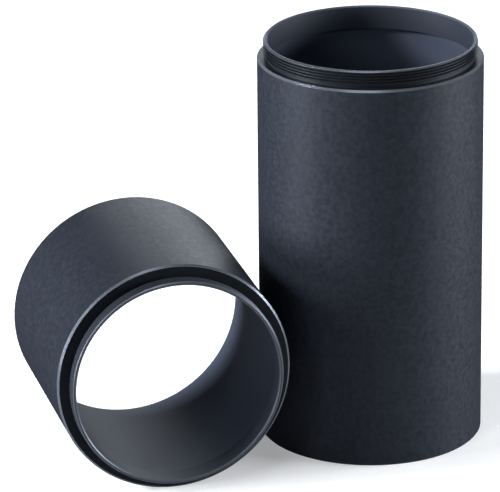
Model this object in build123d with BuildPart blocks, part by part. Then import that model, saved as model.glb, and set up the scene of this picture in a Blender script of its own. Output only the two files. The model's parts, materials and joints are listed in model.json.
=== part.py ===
"""Two-piece screw-in lens shade: a long and a short black aluminium tube, each with a male threaded collar.

The long tube stands on its foot with its collar up. The short tube has been unscrewed and lies on its side in
front of it, with its collar towards -Y. Origin: centre of the long tube's foot. +Z runs up the long tube's axis.
Millimetres.
"""
import os
from math import cos, radians, sin, tan

from build123d import *

# Screw thread of every collar and of the long tube's foot: metric, 60 degrees, 54 x 0.75
thread_r = 27.0
thread_pitch = 0.75
thread_depth = 0.46
thread_play = 0.05      # each crest and root stands this far clear of its mate
crest_flat = 0.10       # width left on top of each ridge

# Collar, the same on both tubes
collar_length = 4.5
collar_bore_r = 25.9
collar_seat = 1.5       # thickness of the ring that carries the collar, below the shoulder
undercut_r = 26.45      # thread relief at the collar's root
undercut_width = 0.9

# Long tube
long_r = 28.5
long_length = 100.0     # foot to shoulder
long_bore_r = 27.4
foot_thread_r = 26.6    # crests of the female thread
foot_thread_length = 5.6

# Short tube
short_r = 29.75
short_length = 50.5     # plain end to shoulder
short_bore_r = 28.9

# Broken edges
body_chamfer = 0.5
rim_chamfer = 0.3

# Where the short tube lies
lie_angle = 16.5        # its axis, turned from the Y axis
lie_gap = 0.15          # clear space between the two barrels
lie_overhang = 26.35    # shoulder to the point nearest the long tube, along the axis

thread_start = 37       # degrees round the tube, clear of the seam in its wall
runout = 0.4            # how far a thread cutter starts and ends in free space
overcut = 0.04          # how far its flanks run on past the crest

# Each tube's half section is drawn on a plane with X out from the tube's axis and Y along it, towards the collar.
lie_distance = long_r + lie_gap + short_r
away = Vector(-cos(radians(lie_angle)), -sin(radians(lie_angle)), 0)
towards_collar = Vector(sin(radians(lie_angle)), -cos(radians(lie_angle)), 0)
plain_end = away * lie_distance + towards_collar * (lie_overhang - short_length) + Vector(0, 0, short_r)
standing = Plane.XZ
lying = Plane(origin=plain_end, x_dir=(0, 0, 1), z_dir=-away)


def wall(r_in, r_out, start, end, mode=Mode.ADD):
    """Half section of a plain ring between two radii and two stations along the tube."""
    with Locations((r_in, start)):
        Rectangle(r_out - r_in, end - start, align=(Align.MIN, Align.MIN), mode=mode)


def collar(body_r, shoulder):
    """Half section of the ring, the collar and its thread relief, on a body of the given radius."""
    wall(collar_bore_r, body_r, shoulder - collar_seat, shoulder)
    wall(collar_bore_r, thread_r - thread_play, shoulder, shoulder + collar_length)
    wall(undercut_r, thread_r, shoulder, shoulder + undercut_width, mode=Mode.SUBTRACT)


def break_edges(section, body_r, shoulder):
    """Chamfer the rim, the shoulder's outer corner and both corners of the other end."""
    chamfer(section.vertices().group_by(Axis.Y)[-1], rim_chamfer)
    chamfer(section.vertices().group_by(Axis.Y)[0], rim_chamfer)
    chamfer(section.vertices().sort_by_distance((body_r, shoulder))[0], body_chamfer)


def cut_thread(plane, crest_r, root_r, start, end):
    """Cut a helical V groove into the wall at crest_r, down to root_r, between two stations along the tube."""
    out = 1 if root_r > crest_r else -1
    flank = tan(radians(30))
    mouth = (thread_pitch - crest_flat) / 2 + overcut * flank
    floor = (thread_pitch - crest_flat) / 2 - thread_depth * flank
    foot = plane.from_local_coords((0, start, 0))
    with BuildLine() as path:
        Helix(thread_pitch, end - start, crest_r, center=foot, direction=plane.y_dir)
    radial = (path.line @ 0 - foot).normalized() * out
    with BuildSketch(Plane(origin=path.line @ 0, x_dir=radial, z_dir=path.line % 0)) as groove:
        with BuildLine():
            Polyline((-overcut, -mouth), (thread_depth, -floor), (thread_depth, floor), (-overcut, mouth), close=True)
        make_face()
    cutter = sweep(groove.sketch, path=path.line, is_frenet=True, mode=Mode.PRIVATE)
    add(cutter.rotate(Axis(foot, plane.y_dir), thread_start), mode=Mode.SUBTRACT)


def cut_collar_thread(plane, shoulder):
    """Male thread, from the relief at the collar's root out past the rim."""
    crest_r = thread_r - thread_play
    cut_thread(plane, crest_r, crest_r - thread_depth, shoulder + runout, shoulder + collar_length + runout)


with BuildPart() as long_tube:
    with BuildSketch(standing) as long_section:
        wall(long_bore_r, long_r, 0, long_length)
        wall(foot_thread_r, long_r, 0, foot_thread_length)
        collar(long_r, long_length)
        break_edges(long_section, long_r, long_length)
    revolve(axis=Axis.Z)
    cut_collar_thread(standing, long_length)
    cut_thread(standing, foot_thread_r, foot_thread_r + thread_depth, -runout, foot_thread_length + runout)
long_tube.part.label = "long_shade_tube"

with BuildPart() as short_tube:
    with BuildSketch(lying) as short_section:
        wall(short_bore_r, short_r, 0, short_length)
        collar(short_r, short_length)
        break_edges(short_section, short_r, short_length)
    revolve(axis=Axis(plain_end, towards_collar))
    cut_collar_thread(lying, short_length)
short_tube.part.label = "short_shade_tube"

os.makedirs("parts", exist_ok=True)
for tube in (long_tube, short_tube):
    export_step(tube.part, f"parts/{tube.part.label}.step")
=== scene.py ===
"""Two-piece screw-in lens shade in black anodised aluminium, on a white studio floor. Metres."""
import json
from math import cos, radians, sin

import bpy
from mathutils import Matrix, Vector

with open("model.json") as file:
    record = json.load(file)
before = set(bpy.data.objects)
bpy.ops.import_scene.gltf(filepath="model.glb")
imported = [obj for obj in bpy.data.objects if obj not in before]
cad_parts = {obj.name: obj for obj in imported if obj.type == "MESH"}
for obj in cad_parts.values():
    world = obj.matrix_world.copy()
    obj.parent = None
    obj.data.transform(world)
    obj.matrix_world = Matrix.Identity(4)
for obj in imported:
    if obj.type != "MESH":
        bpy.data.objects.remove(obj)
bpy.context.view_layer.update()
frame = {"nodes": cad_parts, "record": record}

scene = bpy.context.scene
nodes = frame["nodes"]
mounts = {mount["name"]: mount for mount in frame["record"]["mounts"]}

# Along a tube's axis, from its shoulder towards the collar's rim
SHOULDER_TO_MOUNT = 0.00255              # to the collar's mount, in the middle of the thread
SHOULDER_FACE = (-0.00005, -0.00001)     # just short of the shoulder
RELIEF_END = (0.0008, 0.0010)
LEAD_IN_START = (0.0038, 0.0041)

# Out from a tube's axis
COLLAR_WALL = (0.0262, 0.0264)           # between the collar's bore and the bottom of its thread
THREAD_CREST = (0.02670, 0.02685)
WALL_BLEND = 0.0001                      # either side of the middle of a barrel's wall

EDGE_RADIUS = 0.0002                     # how far from a corner the coat counts as rubbed

# Colours of the coat
DARK_DYE = (0.0098, 0.0118, 0.0172, 1)
LIGHT_DYE = (0.0112, 0.0134, 0.0192, 1)
PEENED_SPECK = (0.0142, 0.0168, 0.0238, 1)
# Painted light: lighter copies of the black coat in the bores, standing in for the light on the inner walls
COLLAR_BORE_PAINTED_LIGHT = (0.0220, 0.0260, 0.0370, 1)
BARREL_BORE_PAINTED_LIGHT = (0.0480, 0.0580, 0.0860, 1)
# Painted shade, not a colour of the coat: near black laid into the thread and its relief groove
PAINTED_SHADE_COLOUR = (0.0020, 0.0024, 0.0034, 1)
RUBBED_METAL = (0.125, 0.138, 0.167, 1)
BLUISH_SHEEN = (0.80, 0.88, 1.0, 1)

# Lights
SET_MIDDLE = Vector((-0.02, -0.01, 0.05))
LIGHT_DISTANCE = 1.2
DAYLIGHT = (0.95, 0.975, 1.0)
BLUE_DAYLIGHT = (0.84, 0.91, 1.0)
PAPER_WHITE = (0.97, 0.98, 1.0, 1)


# ---------------------------------------------------------------- camera
def place_camera():
    """A long lens from 1.1 metres away, looking down at 21 degrees."""
    yaw, pitch, roll = radians(-1.682), radians(-20.831), radians(-0.584)
    place = (0, -1.0450, 0.4464)
    focal_length = 315.73    # millimetres
    forward = Vector((sin(yaw) * cos(pitch), cos(yaw) * cos(pitch), sin(pitch)))
    level = Vector((cos(yaw), -sin(yaw), 0))
    up = level.cross(forward)
    right = level * cos(roll) + up * sin(roll)
    up = up * cos(roll) - level * sin(roll)
    data = bpy.data.cameras.new("camera")
    data.sensor_width = 36
    data.lens = focal_length
    data.clip_end = 50
    camera = bpy.data.objects.new("camera", data)
    turn = Matrix((right, up, -forward)).transposed().to_4x4()
    camera.matrix_world = Matrix.Translation(place) @ turn
    scene.collection.objects.link(camera)
    scene.camera = camera


# ---------------------------------------------------------------- lights and floor
def softbox(name, azimuth, elevation, size, power, colour=DAYLIGHT):
    """Rectangular area light aimed at the set. Azimuth 0 is on the camera's side and 90 is to the right."""
    a, e = radians(azimuth), radians(elevation)
    out = Vector((sin(a) * cos(e), -cos(a) * cos(e), sin(e)))
    data = bpy.data.lights.new(name, "AREA")
    data.shape = "RECTANGLE"
    data.size, data.size_y = size
    data.energy = power
    data.color = colour
    light = bpy.data.objects.new(name, data)
    turn = out.to_track_quat("Z", "Y").to_matrix().to_4x4()
    light.matrix_world = Matrix.Translation(SET_MIDDLE + out * LIGHT_DISTANCE) @ turn
    light.visible_camera = False
    scene.collection.objects.link(light)


def light_studio():
    """Dim white surroundings, strong lights at both sides and weak ones in front, behind and above."""
    world = bpy.data.worlds.new("studio")
    world.use_nodes = True
    background = world.node_tree.nodes["Background"]
    background.inputs["Color"].default_value = PAPER_WHITE
    background.inputs["Strength"].default_value = 0.03
    scene.world = world
    softbox("key_left", azimuth=280, elevation=26, size=(0.25, 0.25), power=20.0)
    softbox("low_left", azimuth=287, elevation=4, size=(0.4, 0.4), power=27.0)
    softbox("low_right", azimuth=93, elevation=8, size=(0.8, 0.4), power=32.0)
    softbox("front_left", azimuth=326, elevation=24, size=(0.3, 0.3), power=2.5)
    softbox("back", azimuth=178, elevation=12, size=(0.8, 0.4), power=3.8, colour=BLUE_DAYLIGHT)
    softbox("high_front", azimuth=350, elevation=72, size=(0.5, 0.5), power=2.0)
    softbox("glint", azimuth=272, elevation=51, size=(0.06, 0.06), power=0.7)


def lay_floor():
    """Large flat sheet of plain white under the set. It glows a little, which keeps the shadows pale."""
    mesh = bpy.data.meshes.new("studio_floor")
    half = 12.0
    corners = [(-half, -half, 0), (half, -half, 0), (half, half, 0), (-half, half, 0)]
    mesh.from_pydata(corners, [], [(0, 1, 2, 3)])
    floor = bpy.data.objects.new("studio_floor", mesh)
    scene.collection.objects.link(floor)
    material = bpy.data.materials.new("white_paper")
    material.use_nodes = True
    shader = material.node_tree.nodes["Principled BSDF"]
    shader.inputs["Base Color"].default_value = (0.92, 0.92, 0.92, 1)
    shader.inputs["Roughness"].default_value = 0.9
    shader.inputs["Specular IOR Level"].default_value = 0.0
    shader.inputs["Emission Color"].default_value = PAPER_WHITE
    shader.inputs["Emission Strength"].default_value = 0.30
    mesh.materials.append(material)
    floor.visible_glossy = False    # a white sheet mirrored in the satin sides would wash them out


# ---------------------------------------------------------------- shader nodes
def feed(tree, socket, value):
    """Link a socket to an input, or set the input to a plain value."""
    if isinstance(value, bpy.types.NodeSocket):
        tree.links.new(value, socket)
    else:
        socket.default_value = value


def node(tree, kind, inputs=None, **settings):
    """New shader node with its settings and its input values or links."""
    made = tree.nodes.new(kind)
    for key, value in settings.items():
        setattr(made, key, value)
    for key, value in (inputs or {}).items():
        feed(tree, made.inputs[key], value)
    return made


def product(tree, a, b):
    return node(tree, "ShaderNodeMath", {0: a, 1: b}, operation="MULTIPLY").outputs["Value"]


def difference(tree, a, b):
    return node(tree, "ShaderNodeMath", {0: a, 1: b}, operation="SUBTRACT").outputs["Value"]


def total(tree, a, b):
    return node(tree, "ShaderNodeMath", {0: a, 1: b}, operation="ADD").outputs["Value"]


def larger(tree, a, b):
    return node(tree, "ShaderNodeMath", {0: a, 1: b}, operation="MAXIMUM").outputs["Value"]


def vector_difference(tree, a, b):
    return node(tree, "ShaderNodeVectorMath", {0: a, 1: b}, operation="SUBTRACT").outputs["Vector"]


def dot_product(tree, a, b):
    return node(tree, "ShaderNodeVectorMath", {0: a, 1: b}, operation="DOT_PRODUCT").outputs["Value"]


def ramp(tree, value, ends=(0.0, 1.0), start=0.0, end=1.0):
    """Value at the first of the ends gives start, at the second it gives end, and beyond them it stays."""
    inputs = {"Value": value, "From Min": ends[0], "From Max": ends[1], "To Min": start, "To Max": end}
    return node(tree, "ShaderNodeMapRange", inputs).outputs["Result"]


def noise(tree, place, scale, roughness=0.5):
    inputs = {"Vector": place, "Scale": scale, "Detail": 2.0, "Roughness": roughness}
    return node(tree, "ShaderNodeTexNoise", inputs).outputs["Fac"]


def mix_value(tree, factor, a, b):
    inputs = {"Factor": factor, "A": a, "B": b}
    return node(tree, "ShaderNodeMix", inputs, data_type="FLOAT").outputs["Result"]


def mix_colour(tree, factor, a, b):
    """Colour from a at 0 to b at 1. A Mix node's sockets share names between types, so these go by number."""
    return node(tree, "ShaderNodeMix", {"Factor": factor, 6: a, 7: b}, data_type="RGBA").outputs[2]


# ---------------------------------------------------------------- black anodising
def tube_coordinates(tree, place, collar):
    """How far along the axis from the shoulder, and how far out from the axis."""
    axis = Vector(collar["axis"])
    shoulder = Vector(collar["pos_m"]) - axis * SHOULDER_TO_MOUNT
    local = vector_difference(tree, place, shoulder)
    along = dot_product(tree, local, axis)
    on_axis = node(tree, "ShaderNodeVectorMath", {0: axis, "Scale": along}, operation="SCALE")
    across = vector_difference(tree, local, on_axis.outputs["Vector"])
    radius = node(tree, "ShaderNodeVectorMath", {0: across}, operation="LENGTH").outputs["Value"]
    return along, radius


def tube_zones(tree, along, radius, wall_middle):
    """Masks, 1 on a part of the tube and 0 elsewhere."""
    past_shoulder = ramp(tree, along, SHOULDER_FACE)
    before_shoulder = difference(tree, 1.0, past_shoulder)
    within_wall = ramp(tree, radius, (wall_middle - WALL_BLEND, wall_middle + WALL_BLEND), 1.0, 0.0)
    outside_collar = ramp(tree, radius, COLLAR_WALL)
    thread = product(tree, past_shoulder, outside_collar)
    clear_of_relief = ramp(tree, along, RELIEF_END)
    collar_bore = difference(tree, 1.0, outside_collar)
    barrel_bore = product(tree, product(tree, within_wall, outside_collar), before_shoulder)
    return {
        "machined": larger(tree, past_shoulder, within_wall),
        "thread": thread,
        "lead_in": product(tree, thread, ramp(tree, along, LEAD_IN_START)),
        "clear_of_relief": clear_of_relief,
        "crests": product(tree, product(tree, thread, clear_of_relief), ramp(tree, radius, THREAD_CREST)),
        "collar_bore": collar_bore,
        "barrel_bore": barrel_bore,
        "inside": larger(tree, collar_bore, barrel_bore),
    }


def rubbed_places(tree, axis, zones, crest_wear):
    """1 where handling has rubbed the coat bright: corners, chamfers, the lead-in and the thread's crests."""
    # A corner shows where the normal of a rounded edge leaves the true one.
    rounded = node(tree, "ShaderNodeBevel", {"Radius": EDGE_RADIUS}, samples=8).outputs["Normal"]
    true = node(tree, "ShaderNodeNewGeometry").outputs["True Normal"]
    corner = ramp(tree, dot_product(tree, rounded, true), (0.995, 0.92), 0.0, 0.6)
    sheltered = larger(tree, zones["thread"], zones["inside"])
    corner = product(tree, corner, ramp(tree, sheltered, start=1.0, end=0.2))
    # A chamfer faces halfway between the axis and straight out.
    object_normal = node(tree, "ShaderNodeVectorTransform", {0: true}, vector_type="NORMAL",
                         convert_from="WORLD", convert_to="OBJECT").outputs["Vector"]
    lean = dot_product(tree, object_normal, axis)
    lean = node(tree, "ShaderNodeMath", {0: lean}, operation="ABSOLUTE").outputs["Value"]
    chamfer = product(tree, ramp(tree, lean, (0.60, 0.66)), ramp(tree, lean, (0.75, 0.80), 1.0, 0.0))
    chamfer = product(tree, chamfer, ramp(tree, zones["inside"], start=1.0, end=0.5))
    crests = product(tree, zones["crests"], crest_wear)
    handled = larger(tree, crests, product(tree, zones["lead_in"], 0.28))
    return larger(tree, larger(tree, corner, chamfer), handled)


def coat_colour(tree, place, mottle, zones, rubbed, painted_thread_shade):
    """Clouded, speckled black; painted light in bores, painted shade in thread; paler where rubbed."""
    clouds = ramp(tree, noise(tree, place, 60.0), (0.3, 0.7))
    speck = ramp(tree, mottle, (0.35, 0.65))
    colour = mix_colour(tree, clouds, DARK_DYE, LIGHT_DYE)
    colour = mix_colour(tree, speck, colour, PEENED_SPECK)
    # Painted light: the bores are made lighter than the coat outside, for the light that reaches their walls
    colour = mix_colour(tree, zones["collar_bore"], colour, COLLAR_BORE_PAINTED_LIGHT)
    colour = mix_colour(tree, zones["barrel_bore"], colour, BARREL_BORE_PAINTED_LIGHT)
    # Painted shade: the thread and its relief groove are darkened to stand in for the shade in them
    painted_shade_mask = product(tree, difference(tree, zones["thread"], zones["lead_in"]),
                    ramp(tree, zones["clear_of_relief"], start=0.5, end=painted_thread_shade))
    colour = mix_colour(tree, painted_shade_mask, colour, PAINTED_SHADE_COLOUR)
    return mix_colour(tree, rubbed, colour, RUBBED_METAL)


def coat_roughness(tree, mottle, rings, zones, rubbed):
    """Satin outside, smoother with turning rings on the collar, duller inside and glossy where rubbed."""
    satin = ramp(tree, mottle, (0.3, 0.7), 0.40, 0.50)
    turned = ramp(tree, rings, (0.3, 0.7), 0.36, 0.44)
    turned = total(tree, turned, product(tree, zones["inside"], 0.14))
    return mix_value(tree, rubbed, mix_value(tree, zones["machined"], satin, turned), 0.25)


def coat_bumps(tree, place, mottle, rings, zones):
    """Fine peening outside, or turning rings where the tube is machined, over a coarser mottle."""
    peening = noise(tree, place, 2100.0, roughness=0.6)
    grain = mix_value(tree, zones["machined"], peening, rings)
    fine = node(tree, "ShaderNodeBump", {"Strength": 0.4, "Distance": 0.00003, "Height": grain})
    coarse = node(tree, "ShaderNodeBump", {"Strength": 0.4, "Distance": 0.00006, "Height": mottle,
                                           "Normal": fine.outputs["Normal"]})
    return coarse.outputs["Normal"]


def black_anodised(name, collar, wall_middle, painted_thread_shade, crest_wear):
    """Black anodising for one tube: bead-blasted outside, turned inside and on the collar and shoulder.

    collar is the mount in the middle of the tube's collar thread, and wall_middle is the radius halfway
    through the barrel's wall. painted_thread_shade says how far painted shade darkens the thread and its
    relief groove, and crest_wear how far its crests are rubbed.
    """
    material = bpy.data.materials.new(name)
    material.use_nodes = True
    tree = material.node_tree
    shader = tree.nodes["Principled BSDF"]
    place = node(tree, "ShaderNodeTexCoord").outputs["Object"]
    along, radius = tube_coordinates(tree, place, collar)
    zones = tube_zones(tree, along, radius, wall_middle)
    rubbed = rubbed_places(tree, Vector(collar["axis"]), zones, crest_wear)
    mottle = noise(tree, place, 850.0)
    ring_inputs = {"W": along, "Scale": 5200.0, "Detail": 2.0}
    rings = node(tree, "ShaderNodeTexNoise", ring_inputs, noise_dimensions="1D").outputs["Fac"]

    feed(tree, shader.inputs["Base Color"], coat_colour(tree, place, mottle, zones, rubbed, painted_thread_shade))
    feed(tree, shader.inputs["Roughness"], coat_roughness(tree, mottle, rings, zones, rubbed))
    feed(tree, shader.inputs["Metallic"], product(tree, rubbed, 0.55))
    feed(tree, shader.inputs["Normal"], coat_bumps(tree, place, mottle, rings, zones))
    shader.inputs["Specular IOR Level"].default_value = 0.20
    shader.inputs["Specular Tint"].default_value = BLUISH_SHEEN
    return material


place_camera()
light_studio()
lay_floor()
coats = {
    # painted_thread_shade: how deep each tube's thread is darkened with painted shade
    "long_shade_tube": black_anodised("black_anodised_long", mounts["long_collar_thread"],
                                      wall_middle=0.02795, painted_thread_shade=0.85, crest_wear=0.0),
    "short_shade_tube": black_anodised("black_anodised_short", mounts["short_collar_thread"],
                                       wall_middle=0.02933, painted_thread_shade=0.4, crest_wear=0.2),
}
for name, coat in coats.items():
    for slot in nodes[name].material_slots:
        slot.material = coat

scene.view_settings.view_transform = "Standard"
